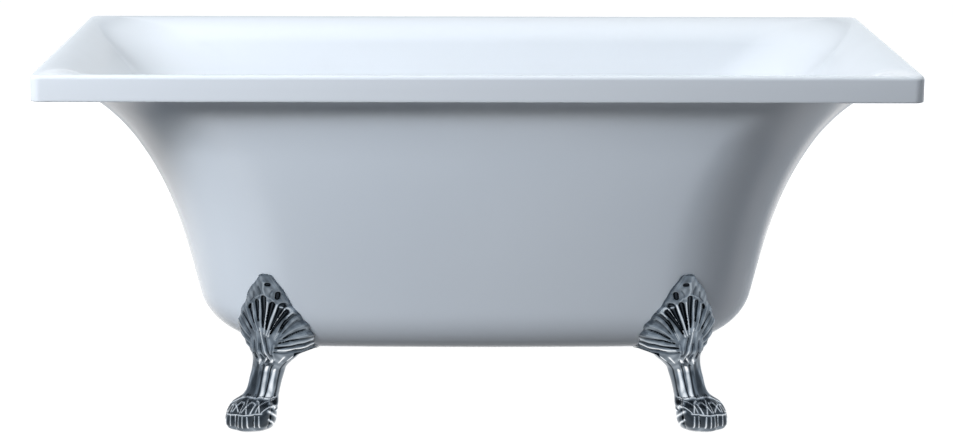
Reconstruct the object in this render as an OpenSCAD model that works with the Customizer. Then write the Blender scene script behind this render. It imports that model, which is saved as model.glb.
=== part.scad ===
// Freestanding double-ended bath: a pressed basin and rim inside a flared outer skin, on four cast claw legs.
// Origin on the floor under the middle of the bath. X runs along it, the front is -Y, and Z is up.

/* [Rim] */
// Length of the rim, end to end
rim_l = 1500; // [1350:10:1700]
// Width of the rim, front to back
rim_w = 750; // [720:10:850]
// Corner radius of the rim, seen from above
rim_r = 19; // [16:1:36]
// Depth of the rim's turned-down lip
lip_h = 45; // [40:1:55]
// Radius of the rim's top outer edge
rim_edge_r = 7; // [6:0.5:9]

/* [Basin] */
// Depth of the basin, from the rim to the waste
basin_depth = 404; // [385:1:430]
// Thickness of the basin's wall, acrylic and its backing together
shell_t = 5; // [4:0.5:6]
// Rise of the basin's floor, from the waste to its ends
floor_fall = 10; // [6:1:14]
// Width of the rim's slope at the ends, from the rim's edge to the top of the basin's walls
slope_l = 80; // [74:1:86]
// Width of the rim's slope at the sides
slope_w = 72; // [66:1:78]
// How far each end wall of the basin leans in, from its top to the floor's curve
end_lean = 166; // [150:1:180]
// How far each side wall of the basin leans in
side_lean = 42; // [36:1:48]
// Reach of the floor's curve at each end
floor_curve_l = 92; // [80:1:110]
// Reach of the floor's curve at each side
floor_curve_w = 81; // [70:1:90]

/* [Outer skin] */
// Height of the skin's flat underside above the floor
base_z = 130; // [122:1:140]
// Height of the basin's floor above the skin's underside
carcass_h = 96; // [94:1:106]
// Thickness of the outer skin
skin_t = 4; // [3:0.5:5]
// How far the skin's ends start inside the ends of the basin's floor curve
skin_in_l = 9; // [4:1:16]
// How far the skin's sides start outside the sides of the basin's floor curve
skin_out_w = 26; // [22:1:30]
// Height of the skin's lower curve
skin_curve_h = 70; // [60:1:76]
// How far the long sides bow outwards
skin_bow = 12; // [8:1:14]

/* [Carcass] */
// Thickness of the board that takes the legs
board_t = 18; // [15:1:22]
// Width of each cross bearer
bearer_w = 45; // [30:1:60]
// Length of each cross bearer
bearer_l = 300; // [240:10:340]
// Distance from the middle of the bath to each cross bearer
bearer_x = 210; // [160:5:240]
// Width of the battens under the rim
batten_w = 12; // [10:1:13]

/* [Legs] */
// Distance of each leg's root in from the skin's end
leg_in_l = 171; // [164:1:178]
// Distance of each leg's root in from the skin's side
leg_in_w = 65; // [59:1:69]
// Angle of each leg, outwards from straight across the bath
leg_yaw = 37; // [30:1:42]
// Height of the cast leaf above the skin's underside
leaf_h = 135; // [115:1:155]
// Thickness of the lug that is bolted under the bath
lug_t = 8; // [6:1:10]
// Distance of the bolts behind each leg's root
bolt_back = 40; // [36:1:44]
// Distance between each leg's two bolts
bolt_gap = 34; // [28:1:40]
// Radius of each bolt's shank
bolt_r = 4; // [3:0.5:5]

/* [Levelling feet] */
// Radius of each glide pad
pad_r = 15; // [12:0.5:18]
// Thickness of each glide pad
pad_t = 4.5; // [3:0.5:6]
// Gap between the floor and the paw, with the foot wound in
paw_z = 2; // [1:0.5:2.5]
// Radius of each levelling stud
stud_r = 5; // [4:0.5:6]
// Length of each levelling stud that stays in the paw with the foot wound right out
stud_grip = 24; // [20:1:26]
// Travel of each levelling foot
level_travel = 12; // [8:1:15]

/* [Waste] */
// Outer radius of the waste's threads
waste_r = 23.9; // [22:0.1:25]
// Radius of the waste's flange
flange_r = 35; // [33:0.5:38]
// Thickness of the waste's flange
flange_t = 3; // [2:0.5:4]
// Length of the waste outlet's threaded tail
tail_l = 59; // [50:1:68]
// Radius of the plug's cap
cap_r = 31; // [30:0.5:32]
// Lift of the plug
plug_travel = 9; // [6:0.5:9]
// Radius of the service hole under the bath
service_r = 76; // [72:1:84]

/* [Overflow] */
// Depth of the overflow below the rim
overflow_depth = 85; // [75:1:95]
// Radius of the overflow's hole
overflow_r = 22; // [20:0.5:24]
// Radius of the overflow's cover
cover_r = 34; // [31:0.5:38]
// Outer radius of the overflow pipe
pipe_r = 11; // [9:0.5:11]
// Wall of the overflow pipe
pipe_t = 1.5; // [1:0.5:2]

/* [Hidden] */
$fn = 48;

seat = 0.3;                       // gap between pieces that lie on each other's curved faces
slip = 0.05;                      // radial clearance of a shaft or thread in its hole

// Levels
floor_z = base_z + carcass_h;     // basin's floor round the waste
height = floor_z + basin_depth;   // top of the rim
under_z = floor_z - shell_t;      // its underside
lip_z = height - lip_h;           // lip's lower edge
board_z = base_z + skin_t;        // board's underside
board_top = board_z + board_t;

// Points round a section: corner steps, then steps along a long and a short side
corner_n = 10;
long_n = 6;
short_n = 2;

// A cubic curve with four control points, and a run of n + 1 points along it from step i0
function bez(p, t) = pow(1 - t, 3) * p[0] + 3 * t * pow(1 - t, 2) * p[1] + 3 * t * t * (1 - t) * p[2]
    + t * t * t * p[3];
function run(p, n, i0 = 0) = [for (i = [i0 : n]) bez(p, i / n)];

// A station is [half length, half width, height, corner radius, bow]: one level section of a bath's form
function bowed(x, y, s) = [x, y * (1 + s[4] / s[1] * (1 - pow(x / s[0], 2))), s[2]];
function section(s) = [
    for (q = [0 : 3])
        let (cx = (s[0] - s[3]) * (q == 0 || q == 3 ? 1 : -1), cy = (s[1] - s[3]) * (q < 2 ? 1 : -1),
             steps = q % 2 == 0 ? long_n : short_n)
        each concat(
            [for (i = [0 : corner_n])
                let (w = 90 * (q + i / corner_n)) bowed(cx + s[3] * cos(w), cy + s[3] * sin(w), s)],
            [for (i = [1 : steps - 1])
                let (f = 1 - 2 * i / steps)
                q % 2 == 0 ? bowed(cx * f, cy + s[3] * sin(90 * (q + 1)), s)
                           : bowed(cx + s[3] * cos(90 * (q + 1)), cy * f, s)])
];

// Unit vector
function unit(v) = v / norm(v);
// Normals of a grid of rings, pointing away from the axis or down
function grid_normal(g, i, j) =
    let (m = len(g), n = len(g[0]),
         along = g[min(i + 1, m - 1)][j] - g[max(i - 1, 0)][j],
         round = g[i][(j + 1) % n] - g[i][(j + n - 1) % n])
    unit(cross(round, along));
// The same grid moved along its normals by t
function moved(g, t) = [
    for (i = [0 : len(g) - 1]) [for (j = [0 : len(g[0]) - 1]) g[i][j] + t * grid_normal(g, i, j)]];
function reversed(g) = [for (i = [len(g) - 1 : -1 : 0]) g[i]];

// A closed solid through rings of points, flat at its first and last ring. Its two end faces start at a
// point on a bend, so that no slice of them is a bare line
cap_start = 5;
module loft(g) {
    m = len(g);
    n = len(g[0]);
    polyhedron(
        points = [for (ring = g) each ring],
        faces = concat(
            [[for (j = [0 : n - 1]) (j + cap_start) % n]],
            [for (i = [0 : m - 2], j = [0 : n - 1])
                let (k = (j + 1) % n) each [
                    [i * n + j, (i + 1) * n + j, (i + 1) * n + k],
                    [i * n + j, (i + 1) * n + k, i * n + k]]],
            [[for (j = [n - 1 : -1 : 0]) (m - 1) * n + (j + cap_start) % n]]));
}

// A wall between the grid of its lower or outer face and the grid of its upper or inner face
module walled(outer, inner) {
    loft(concat(outer, reversed(inner)));
}

module tube(r_out, r_in, h) {
    difference() {
        cylinder(r = r_out, h = h);
        translate([0, 0, -1]) cylinder(r = r_in, h = h + 2);
    }
}

// The basin's form, from the waste out and up to the lip
recess_a = 62;                    // flat round the waste
recess_b = 56;
slope_h = 45;                     // drop of the rim's slope
floor_curve_h = 84;               // height of the floor's curve
wall_top_z = height - slope_h;
wall_low_z = floor_z + floor_curve_h;
wall_h = wall_top_z - wall_low_z;
wall_top_a = rim_l / 2 - slope_l; // half length and half width at those two heights
wall_top_b = rim_w / 2 - slope_w;
wall_low_a = wall_top_a - end_lean;
wall_low_b = wall_top_b - side_lean;
floor_a = wall_low_a - floor_curve_l;
floor_b = wall_low_b - floor_curve_w;
edge_a = rim_l / 2 - rim_edge_r;
edge_b = rim_w / 2 - rim_edge_r;
rim_flat = [18, 24];              // the rim levels out this far from its edge, at its ends and sides
floor_step = 1.5;                 // rise from the flat round the waste to the floor's fall

basin_floor = [
    [recess_a, recess_b, floor_z, recess_b - 4, 0],
    [recess_a + 8, recess_b + 6, floor_z, recess_b, 0],
    [recess_a + 18, recess_b + 14, floor_z + floor_step, recess_b + 6, 0]
];
// The walls' control stations, with the corner radius of each. The end walls lean out most near their top
wall_stations = [
    [wall_low_a, wall_low_b, wall_low_z, 176, 0],
    [wall_low_a + 0.19 * end_lean, wall_low_b + side_lean / 3, wall_low_z + wall_h / 3, 186, 0],
    [wall_top_a - 0.54 * end_lean, wall_top_b - side_lean / 3, wall_top_z - wall_h / 3, 190, 0],
    [wall_top_a, wall_top_b, wall_top_z, 150, 0]];
// A point just past the start or the end of a run, in line with it, so that the next one leaves it smoothly
function ahead(p, k) = p[3] + k * (p[3] - p[2]);
function astern(p, k) = p[0] - k * (p[1] - p[0]);
basin_curve = run([
    [floor_a, floor_b, floor_z + floor_fall, 110, 0],
    [floor_a + 0.6 * floor_curve_l, floor_b + 0.6 * floor_curve_w, floor_z + floor_fall + 2, 150, 0],
    astern(wall_stations, 0.45),
    wall_stations[0]], 6);
basin_wall = run(wall_stations, 8, 1);
basin_slope = run([
    wall_stations[3],
    ahead(wall_stations, 0.33),
    [edge_a - rim_flat[0], edge_b - rim_flat[1], height, 100, 0],
    [edge_a, edge_b, height, rim_r - rim_edge_r, 0]], 8, 1);
rim_edge = [for (w = [30 : 30 : 90]) [
    edge_a + rim_edge_r * sin(w), edge_b + rim_edge_r * sin(w), height - rim_edge_r * (1 - cos(w)),
    rim_r - rim_edge_r * (1 - sin(w)), 0]];
lip_end = [[rim_l / 2, rim_w / 2, lip_z, rim_r, 0]];
basin_grid = [
    for (s = concat(basin_floor, basin_curve, basin_wall, basin_slope, rim_edge, lip_end)) section(s)];

// The skin's form, from the flat underside out and up to the flange that closes the rim
curve_end = 78;                   // how far round the lower curve goes before the wall takes over
flange_z = lip_z + 2;
neck_h = 150;                     // depth of the flare and the rim above the neck
neck_z = height - neck_h;
// At its neck the skin clears the basin's wall by these, the thicknesses of both included
neck_gap = [19, 32];
basin_neck = bez(wall_stations, (neck_z - wall_low_z) / wall_h);
neck_a = basin_neck[0] + neck_gap[0];
neck_b = basin_neck[1] + neck_gap[1];
skin_low_a = wall_low_a - skin_in_l;
skin_low_b = wall_low_b + skin_out_w;
skin_lean = [neck_a - skin_low_a, neck_b - skin_low_b];
low_z = base_z + skin_curve_h;
low_r = 180;                      // corner radius at the top of the lower curve
curve_h = skin_curve_h / (1 - cos(curve_end));
skin_stations = [
    [skin_low_a, skin_low_b, low_z, low_r, skin_bow],
    [skin_low_a + 0.22 * skin_lean[0], skin_low_b + skin_lean[1] / 3, low_z + (neck_z - low_z) / 3,
        200, skin_bow],
    [neck_a - 0.6 * skin_lean[0], neck_b - skin_lean[1] / 3, neck_z - (neck_z - low_z) / 3,
        215, skin_bow],
    [neck_a, neck_b, neck_z, 225, skin_bow]];
flare_reach = [rim_l / 2 - neck_a, rim_w / 2 - neck_b];
flare_skin = [
    skin_stations[3],
    ahead(skin_stations, 0.48),
    [rim_l / 2 - 0.435 * flare_reach[0], rim_w / 2 - 0.54 * flare_reach[1], flange_z - 8.5,
        215, skin_bow / 3],
    [rim_l / 2 - 0.185 * flare_reach[0], rim_w / 2 - 0.34 * flare_reach[1], flange_z, 190, 0]];
// The lower curve is a quarter of an ellipse that leaves the wall without a kink
function curve_reach(k) =
    (skin_stations[1][k] - skin_stations[0][k]) * 3 / (neck_z - low_z) * curve_h * tan(curve_end);
flat_a = skin_low_a - curve_reach(0) * sin(curve_end);
flat_b = skin_low_b - curve_reach(1) * sin(curve_end);
flat_r = 110;                     // corner radius of the flat underside
flat_margin = 20;
function curve_station(w) = [
    flat_a + curve_reach(0) * sin(w), flat_b + curve_reach(1) * sin(w), base_z + curve_h * (1 - cos(w)),
    flat_r + (low_r - flat_r) * sin(w) / sin(curve_end), skin_bow];
skin_flat = [[flat_a - flat_margin, flat_b - flat_margin, base_z, flat_r - flat_margin,
    skin_bow * (flat_b - flat_margin) / flat_b]];
skin_curve = [for (i = [0 : 7]) curve_station(curve_end * i / 8)];
skin_edge = [[rim_l / 2 - shell_t - seat, rim_w / 2 - shell_t - seat, flange_z, rim_r - shell_t, 0]];
skin_grid = [
    for (s = concat(skin_flat, skin_curve, run(skin_stations, 10), run(flare_skin, 9, 1), skin_edge))
        section(s)];

// The skin's section at height z, up to its neck
function skin_at(z) = z < low_z
    ? curve_station(acos(1 - (z - base_z) / curve_h))
    : bez(skin_stations, (z - low_z) / (neck_z - low_z));

// Legs are drawn for the corner at +X +Y. u runs out from the leg's root, and w to its side
leg_out = [sin(leg_yaw), cos(leg_yaw)];
leg_side = [cos(leg_yaw), -sin(leg_yaw)];
leg_root = [skin_low_a - leg_in_l, skin_low_b - leg_in_w];
// How far a point lies outside the skin's section s
function outside(p, s) =
    let (y = p[1] / (1 + s[4] / s[1] * (1 - pow(p[0] / s[0], 2))),
         dx = p[0] - (s[0] - s[3]), dy = y - (s[1] - s[3]))
    norm([max(dx, 0), max(dy, 0)]) + min(max(dx, dy), 0) - s[3];
// Distance along u from the root to the skin at side offset w, found by halving
function skin_reach(w, s, lo = -160, hi = 200, n = 18) =
    let (mid = (lo + hi) / 2)
    n == 0 ? mid
    : outside(leg_root + w * leg_side + mid * leg_out, s) > 0
        ? skin_reach(w, s, lo, mid, n - 1) : skin_reach(w, s, mid, hi, n - 1);

// Gap between the leaf and the skin behind it, wider at the bottom where the skin curves under
function leaf_gap(share) = 2 * seat * (1 + 6 * pow(1 - share, 12));
// Leg stations below the bath:
// [height as a share of base_z, middle u, reach in front, reach behind, half width, depth of toes, middle w]
leg_foot_u = 108;                 // middle of the paw
leg_low = [
    [0,    leg_foot_u + 1,  38, 36, 33, 2,   0],
    [0.04, leg_foot_u + 6,  43, 40, 39, 4,   0],
    [0.12, leg_foot_u + 5,  46, 41, 44, 6,   0],
    [0.22, leg_foot_u + 1,  46, 40, 43, 6,   0],
    [0.32, leg_foot_u - 7,  42, 37, 40, 5,   0],
    [0.41, leg_foot_u - 20, 35, 33, 30, 3,   0],
    [0.49, leg_foot_u - 27, 30, 29, 29, 1,   0],
    [0.62, leg_foot_u - 34, 28, 27, 30, 0,   0],
    [0.76, leg_foot_u - 42, 28, 27, 31, 0,   0],
    [0.87, leg_foot_u - 46, 32, 31, 36, 0,  -5],
    [0.94, leg_foot_u - 48, 35, 38, 42, 0,  -9],
    [1,    leg_foot_u - 47, 37, 38, 45, 0, -14]];
// Leaf stations beside the bath: [height as a share of leaf_h, thickness, half width, middle w]
leg_leaf = [
    [0.006, 88, 43, -15],
    [0.05,  70, 42, -16],
    [0.11,  56, 49, -15],
    [0.21,  42, 56, -13],
    [0.32,  32, 57, -11],
    [0.43,  25, 52, -10],
    [0.56,  19, 43,  -9],
    [0.70,  15, 33,  -9],
    [0.84,  12, 25, -11],
    [0.94,  10, 17, -12],
    [1,      8, 13, -11]];
leg_n = 40;
toe_n = 4;
function leg_point(u, w, z) = concat(leg_root + u * leg_out + w * leg_side, z);
function toe(f, s) = abs(f) < 90 ? s[5] * (abs(sin((f + 90) * toe_n)) - 0.5) : 0;
function low_ring(s) = [for (i = [0 : leg_n - 1])
    let (f = 360 * i / leg_n - (i > leg_n / 2 ? 360 : 0), z = paw_z + s[0] * (base_z - seat - paw_z))
    leg_point(s[1] + (cos(f) > 0 ? s[2] + toe(f, s) : s[3]) * cos(f), s[6] - (s[4] + toe(f, s)) * sin(f), z)];
function leaf_ring(s) = [for (i = [0 : leg_n - 1])
    let (f = 360 * i / leg_n, z = base_z + s[0] * leaf_h, w = s[3] - s[2] * sin(f))
    leg_point(skin_reach(w, skin_at(z)) + leaf_gap(s[0]) + (cos(f) > 0 ? s[1] * pow(cos(f), 0.6) : 0), w, z)];
leg_grid = concat([for (s = leg_low) low_ring(s)], [for (s = leg_leaf) leaf_ring(s)]);

// Places of the four legs: [name's end, side along X, side along Y]
module at_leg(sx, sy) {
    mirror([sx < 0 ? 1 : 0, 0, 0]) mirror([0, sy < 0 ? 1 : 0, 0]) children();
}
// A place on the leg at +X +Y, in its own directions: u outwards along the first axis
module leg_place(u, w, z) {
    p = leg_point(u, w, z);
    translate(p) rotate([0, 0, 90 - leg_yaw]) children();
}
module bolt_places() {
    for (w = [-1, 1]) leg_place(-bolt_back, w * bolt_gap / 2, 0) children();
}
module all_bolt_places() {
    for (sx = [-1, 1], sy = [-1, 1]) at_leg(sx, sy) bolt_places() children();
}

// Fasteners
bolt_hole_r = bolt_r + 0.5;
washer_r = 8;
washer_t = 1.6;
bolt_head_r = 7;
bolt_head_h = 5.3;
insert_r = 6;
insert_flange_r = 10;
insert_flange_t = 1.6;
lug_z = base_z - lug_t;
bolt_top = board_top + insert_flange_t + 2;

// The levelling foot, wound right in: the pad stands on the floor and half sinks into the paw
pad_z = 0;
pad_seat_r = pad_r + 0.8;
stud_z = pad_t - 2.5;
stud_l = stud_grip + level_travel;
stud_top = stud_z + stud_l;

// The waste, from the top down
flange_z0 = floor_z + 1.5;        // flange's underside, above its seal
spigot_r = 20.5;
spigot_in = 17.5;
drain_hole_r = 21.5;
spigot_low = floor_z - 34;
under_seal_t = 3;
nut_t = 7;
nut_r = 36;
nut_z = under_z - under_seal_t - nut_t;
tee_top = nut_z;
chamber_r = 26;
chamber_t = 4;
chamber_drop = 42;                // from the tee's top to its chamber's underside
chamber_low = tee_top - chamber_drop;
outlet_z = chamber_low - tail_l;
tail_in = waste_r - 3.4;
tee_step = 8;
branch_z = chamber_low + 20;      // height of the overflow's branch
branch_r = pipe_r + 3;
branch_y = 62;                    // branch's end

// The plug
seal_t = 2;
cap_z = flange_z0 + flange_t + seal_t + 0.2;
cap_t = 5;
stem_r = 3;
cartridge_r = 8;
cartridge_in = 6;
cartridge_z = floor_z - 40;
cartridge_h = 38;
hub_r = 11;
hub_z = floor_z - 26;
hub_h = 8;
spoke_w = 3;
stem_foot_h = 4;
cartridge_lid = 3;
// The stem's foot rises with the plug, and stops short of the cartridge's lid
stem_foot_z = cartridge_z + cartridge_h - cartridge_lid - stem_foot_h - plug_travel - 2;

// The overflow, in the plane of the front wall
wall_lean = atan(side_lean / wall_h);
overflow_z = height - overflow_depth;
overflow_y = wall_low_b + (overflow_z - wall_low_z) * tan(wall_lean);
gasket_t = 3;
chamber_h = 26;
elbow_r = 27;
cover_gap = 9;                    // water's way in, all round behind the cover
cover_t = 4;
screw_r = 3;
screw_head_r = 6;

// The overflow pipe: flat out from the waste's branch, a bend, then up along the front wall
pipe_lean = 7.7;
bend_r = 26;
socket_t = 2.2;                   // wall of a socket round the pipe
socket_l = 14;
pipe_top_z = overflow_z - elbow_r - 4;
pipe_mid_y = overflow_y + (shell_t + gasket_t + chamber_h / 2) / cos(wall_lean) - elbow_r * sin(wall_lean);
bend_angle = 90 - pipe_lean;
rise_z = branch_z + bend_r * (1 - cos(bend_angle));
rise_y = pipe_mid_y - (pipe_top_z - rise_z) * tan(pipe_lean);
bend_y = rise_y - bend_r * sin(bend_angle);
rise_l = (pipe_top_z - rise_z) / cos(pipe_lean);

module bath_shell() {
    color("white") difference() {
        walled(moved(basin_grid, shell_t), basin_grid);
        translate([0, 0, under_z - 10]) cylinder(r = drain_hole_r, h = 30);
        at_overflow() translate([0, 0, -20]) cylinder(r = overflow_r, h = 50);
    }
}

// The middle of the overflow hole on the basin's inner face, with Z pointing out through the wall
module at_overflow() {
    translate([0, -overflow_y, overflow_z]) rotate([90 + wall_lean, 0, 0]) children();
}

module outer_skin() {
    color("lightsteelblue") difference() {
        walled(skin_grid, moved(skin_grid, -skin_t));
        translate([0, 0, base_z - 10]) cylinder(r = service_r, h = 30);
        all_bolt_places() translate([0, 0, base_z - 10]) cylinder(r = bolt_hole_r, h = 30);
    }
}

batten_z = flange_z + skin_t;
batten_h = height - rim_edge_r - 1 - batten_z;
batten_end = 40;                  // clear of the rim's corners
module batten(l, reach) {
    color("burlywood") translate([-l / 2, reach - batten_w, batten_z]) cube([l, batten_w, batten_h]);
}
module long_batten() {
    batten(rim_l - 2 * (shell_t + batten_end), rim_w / 2 - shell_t);
}
module end_batten() {
    rotate([0, 0, -90]) batten(rim_w - 2 * (shell_t + batten_end), rim_l / 2 - shell_t);
}
module rim_batten_back() { long_batten(); }
module rim_batten_front() { mirror([0, 1, 0]) long_batten(); }
module rim_batten_right() { end_batten(); }
module rim_batten_left() { mirror([1, 0, 0]) end_batten(); }

board_r = 96;
board_in = [31, 12];              // how far the board stays inside the flat underside
board_l = 2 * (flat_a - board_in[0]);
board_w = 2 * (flat_b - board_in[1]);
module base_board() {
    color("burlywood") difference() {
        translate([0, 0, board_z]) linear_extrude(board_t) rounded_outline(board_l, board_w, board_r);
        translate([0, 0, board_z - 10]) cylinder(r = service_r + 5, h = 50);
        all_bolt_places() translate([0, 0, board_z - 10]) cylinder(r = insert_r, h = 50);
    }
}
module rounded_outline(l, w, r) {
    square([l - 2 * r, w], center = true);
    square([l, w - 2 * r], center = true);
    for (sx = [-1, 1], sy = [-1, 1]) translate([sx * (l / 2 - r), sy * (w / 2 - r)]) circle(r = r);
}

// Underside of the basin's floor over the bearer's inner edge, where it is lowest
fall_start = basin_floor[2][0];
bearer_top = under_z + floor_step - seat
    + (floor_fall - floor_step) * (bearer_x - bearer_w / 2 - fall_start) / (floor_a - fall_start);
module cross_bearer() {
    color("burlywood") translate([bearer_x - bearer_w / 2, -bearer_l / 2, board_top])
        cube([bearer_w, bearer_l, bearer_top - board_top]);
}
module cross_bearer_right() { cross_bearer(); }
module cross_bearer_left() { mirror([1, 0, 0]) cross_bearer(); }

// A leg is one casting: paw, shank and leaf, with a flat lug behind it that lies under the skin
lug_w = bolt_gap + 30;
lug_front = 40;
module leg() {
    color("gainsboro") difference() {
        union() {
            loft(leg_grid);
            leg_place(0, 0, 0) translate([-bolt_back - 18, -lug_w / 2, lug_z])
                cube([bolt_back + 18 + lug_front, lug_w, lug_t]);
        }
        bolt_places() translate([0, 0, lug_z - 10]) cylinder(r = bolt_hole_r, h = 30);
        leg_place(leg_foot_u, 0, -1) cylinder(r = pad_seat_r, h = pad_t + seat + 1);
        leg_place(leg_foot_u, 0, 0) cylinder(r = stud_r + slip, h = stud_top + 4);
    }
}
module leg_back_right() { at_leg(1, 1) leg(); }
module leg_back_left() { at_leg(-1, 1) leg(); }
module leg_front_right() { at_leg(1, -1) leg(); }
module leg_front_left() { at_leg(-1, -1) leg(); }

module leg_bolts() {
    color("silver") all_bolt_places() {
        translate([0, 0, lug_z - washer_t - bolt_head_h])
            cylinder(r = bolt_head_r, h = bolt_head_h, $fn = 6);
        translate([0, 0, lug_z - washer_t]) cylinder(r = bolt_r, h = bolt_top - lug_z + washer_t);
    }
}
module leg_washers() {
    color("silver") all_bolt_places()
        translate([0, 0, lug_z - washer_t]) tube(washer_r, bolt_r + 0.3, washer_t);
}
// Threaded inserts, pressed into the board from above
module board_inserts() {
    color("goldenrod") all_bolt_places() {
        translate([0, 0, board_z + 1]) tube(insert_r, bolt_r + slip, board_t - 1);
        translate([0, 0, board_top]) tube(insert_flange_r, bolt_r + slip, insert_flange_t);
    }
}

module level_stud() {
    color("silver") leg_place(leg_foot_u, 0, stud_z) cylinder(r = stud_r, h = stud_l);
}
module glide_pad() {
    chamfer = 1;
    color("dimgray") leg_place(leg_foot_u, 0, pad_z) rotate_extrude() polygon([
        [0, 0], [pad_r - chamfer, 0], [pad_r, chamfer], [pad_r, pad_t - chamfer], [pad_r - chamfer, pad_t],
        [stud_r, pad_t], [stud_r, stud_z], [0, stud_z]]);
}
module level_stud_back_right() { at_leg(1, 1) level_stud(); }
module level_stud_back_left() { at_leg(-1, 1) level_stud(); }
module level_stud_front_right() { at_leg(1, -1) level_stud(); }
module level_stud_front_left() { at_leg(-1, -1) level_stud(); }
module glide_pad_back_right() { at_leg(1, 1) glide_pad(); }
module glide_pad_back_left() { at_leg(-1, 1) glide_pad(); }
module glide_pad_front_right() { at_leg(1, -1) glide_pad(); }
module glide_pad_front_left() { at_leg(-1, -1) glide_pad(); }

// The waste's flange and spigot are one turned piece, with three spokes that carry the plug's cartridge
module waste_flange() {
    color("silver") difference() {
        union() {
            rotate_extrude() polygon([
                [spigot_in, spigot_low], [spigot_r, spigot_low], [spigot_r, flange_z0], [flange_r, flange_z0],
                [flange_r, flange_z0 + 1], [flange_r - 2, flange_z0 + flange_t],
                [spigot_in, flange_z0 + flange_t]]);
            for (w = [30, 150, 270]) rotate([0, 0, w]) translate([hub_r - 2, -spoke_w / 2, hub_z])
                cube([spigot_in - hub_r + 3, spoke_w, hub_h]);
            translate([0, 0, hub_z]) cylinder(r = hub_r, h = hub_h);
        }
        translate([0, 0, hub_z - 1]) cylinder(r = cartridge_r, h = hub_h + 2);
    }
}
module waste_seal_top() {
    color("dimgray") translate([0, 0, floor_z]) tube(flange_r - 1, drain_hole_r, flange_z0 - floor_z);
}
module waste_seal_under() {
    color("dimgray") translate([0, 0, under_z - under_seal_t]) tube(nut_r, drain_hole_r, under_seal_t);
}
module waste_backnut() {
    color("lightgray") difference() {
        translate([0, 0, nut_z]) cylinder(r = nut_r, h = nut_t, $fn = 8);
        translate([0, 0, nut_z - 1]) cylinder(r = spigot_r + slip, h = nut_t + 2);
    }
}
// The tee hangs on the spigot, takes in the overflow's branch and ends in the outlet's threaded tail
module waste_tee() {
    wall_r = chamber_r + chamber_t;
    color("whitesmoke") difference() {
        union() {
            translate([0, 0, chamber_low]) cylinder(r = wall_r, h = tee_top - chamber_low);
            translate([0, 0, outlet_z]) cylinder(r = waste_r, h = chamber_low - outlet_z + 1);
            translate([0, 0, branch_z]) rotate([90, 0, 0]) cylinder(r = branch_r, h = branch_y);
        }
        translate([0, 0, tee_top - tee_step - 1]) cylinder(r = spigot_r + slip, h = tee_step + 2);
        translate([0, 0, chamber_low + chamber_t])
            cylinder(r = chamber_r, h = tee_top - tee_step - chamber_low - chamber_t);
        translate([0, 0, outlet_z - 1]) cylinder(r = tail_in, h = chamber_low - outlet_z + chamber_t + 2);
        translate([0, 4 - chamber_r, branch_z]) rotate([90, 0, 0])
            cylinder(r = pipe_r - pipe_t, h = branch_y);
        translate([0, 20 - branch_y, branch_z]) rotate([90, 0, 0]) cylinder(r = pipe_r, h = 30);
    }
}
module plug_cap() {
    color("silver") translate([0, 0, cap_z]) rotate_extrude() polygon(concat(
        [[0, 0], [cap_r, 0], [cap_r, 1.5]],
        [for (i = [1 : 5]) [cap_r * (1 - i / 5), 1.5 + (cap_t - 1.5) * sin(90 * i / 5)]]));
}
module plug_seal() {
    color("dimgray") translate([0, 0, cap_z - seal_t]) tube(28, 21, seal_t);
}
module plug_stem() {
    color("silver") {
        translate([0, 0, stem_foot_z]) cylinder(r = cartridge_in - 0.1, h = stem_foot_h);
        translate([0, 0, stem_foot_z]) cylinder(r = stem_r, h = cap_z - stem_foot_z);
    }
}
module plug_cartridge() {
    color("gray") translate([0, 0, cartridge_z]) difference() {
        cylinder(r = cartridge_r, h = cartridge_h);
        translate([0, 0, 2]) cylinder(r = cartridge_in, h = cartridge_h - 2 - cartridge_lid);
        translate([0, 0, cartridge_h - cartridge_lid - 1]) cylinder(r = stem_r + slip, h = cartridge_lid + 2);
    }
}
// The spring lies under the stem's foot, and lifts the plug when it is let go
spring_turns = 5;
spring_wire = 0.8;
spring_r = 4.4;
spring_low = cartridge_z + 2 + spring_wire;
spring_rise = stem_foot_z - spring_low - spring_wire;
function coil_ring(i, steps) =
    let (w = 360 * spring_turns * i / steps)
    [for (j = [0 : 5]) let (r = spring_r + spring_wire * cos(60 * j))
        [r * cos(w), r * sin(w), spring_low + spring_rise * i / steps + spring_wire * sin(60 * j)]];
module plug_spring() {
    steps = spring_turns * 12;
    color("gray") loft([for (i = [0 : steps]) coil_ring(i, steps)]);
}

module overflow_cover() {
    color("silver") at_overflow() difference() {
        union() {
            translate([0, 0, -cover_gap - cover_t]) cylinder(r = cover_r, h = cover_t);
            for (w = [45 : 90 : 315]) rotate([0, 0, w]) translate([cover_r - 7, 0, -cover_gap])
                cylinder(r = 2.5, h = cover_gap);
            translate([0, 0, -cover_gap]) cylinder(r = 8, h = cover_gap - 1);
        }
        translate([0, 0, -cover_gap - cover_t - 1]) cylinder(r = screw_r + 0.3, h = cover_gap + cover_t + 2);
    }
}
module overflow_screw() {
    color("silver") at_overflow() {
        translate([0, 0, -cover_gap - cover_t - 2]) cylinder(r = screw_head_r, h = 2);
        translate([0, 0, -cover_gap - cover_t])
            cylinder(r = screw_r, h = cover_gap + cover_t + shell_t + gasket_t + chamber_h - 6);
    }
}
module overflow_gasket() {
    color("dimgray") at_overflow() translate([0, 0, shell_t]) tube(elbow_r + 1, overflow_r, gasket_t);
}
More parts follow.
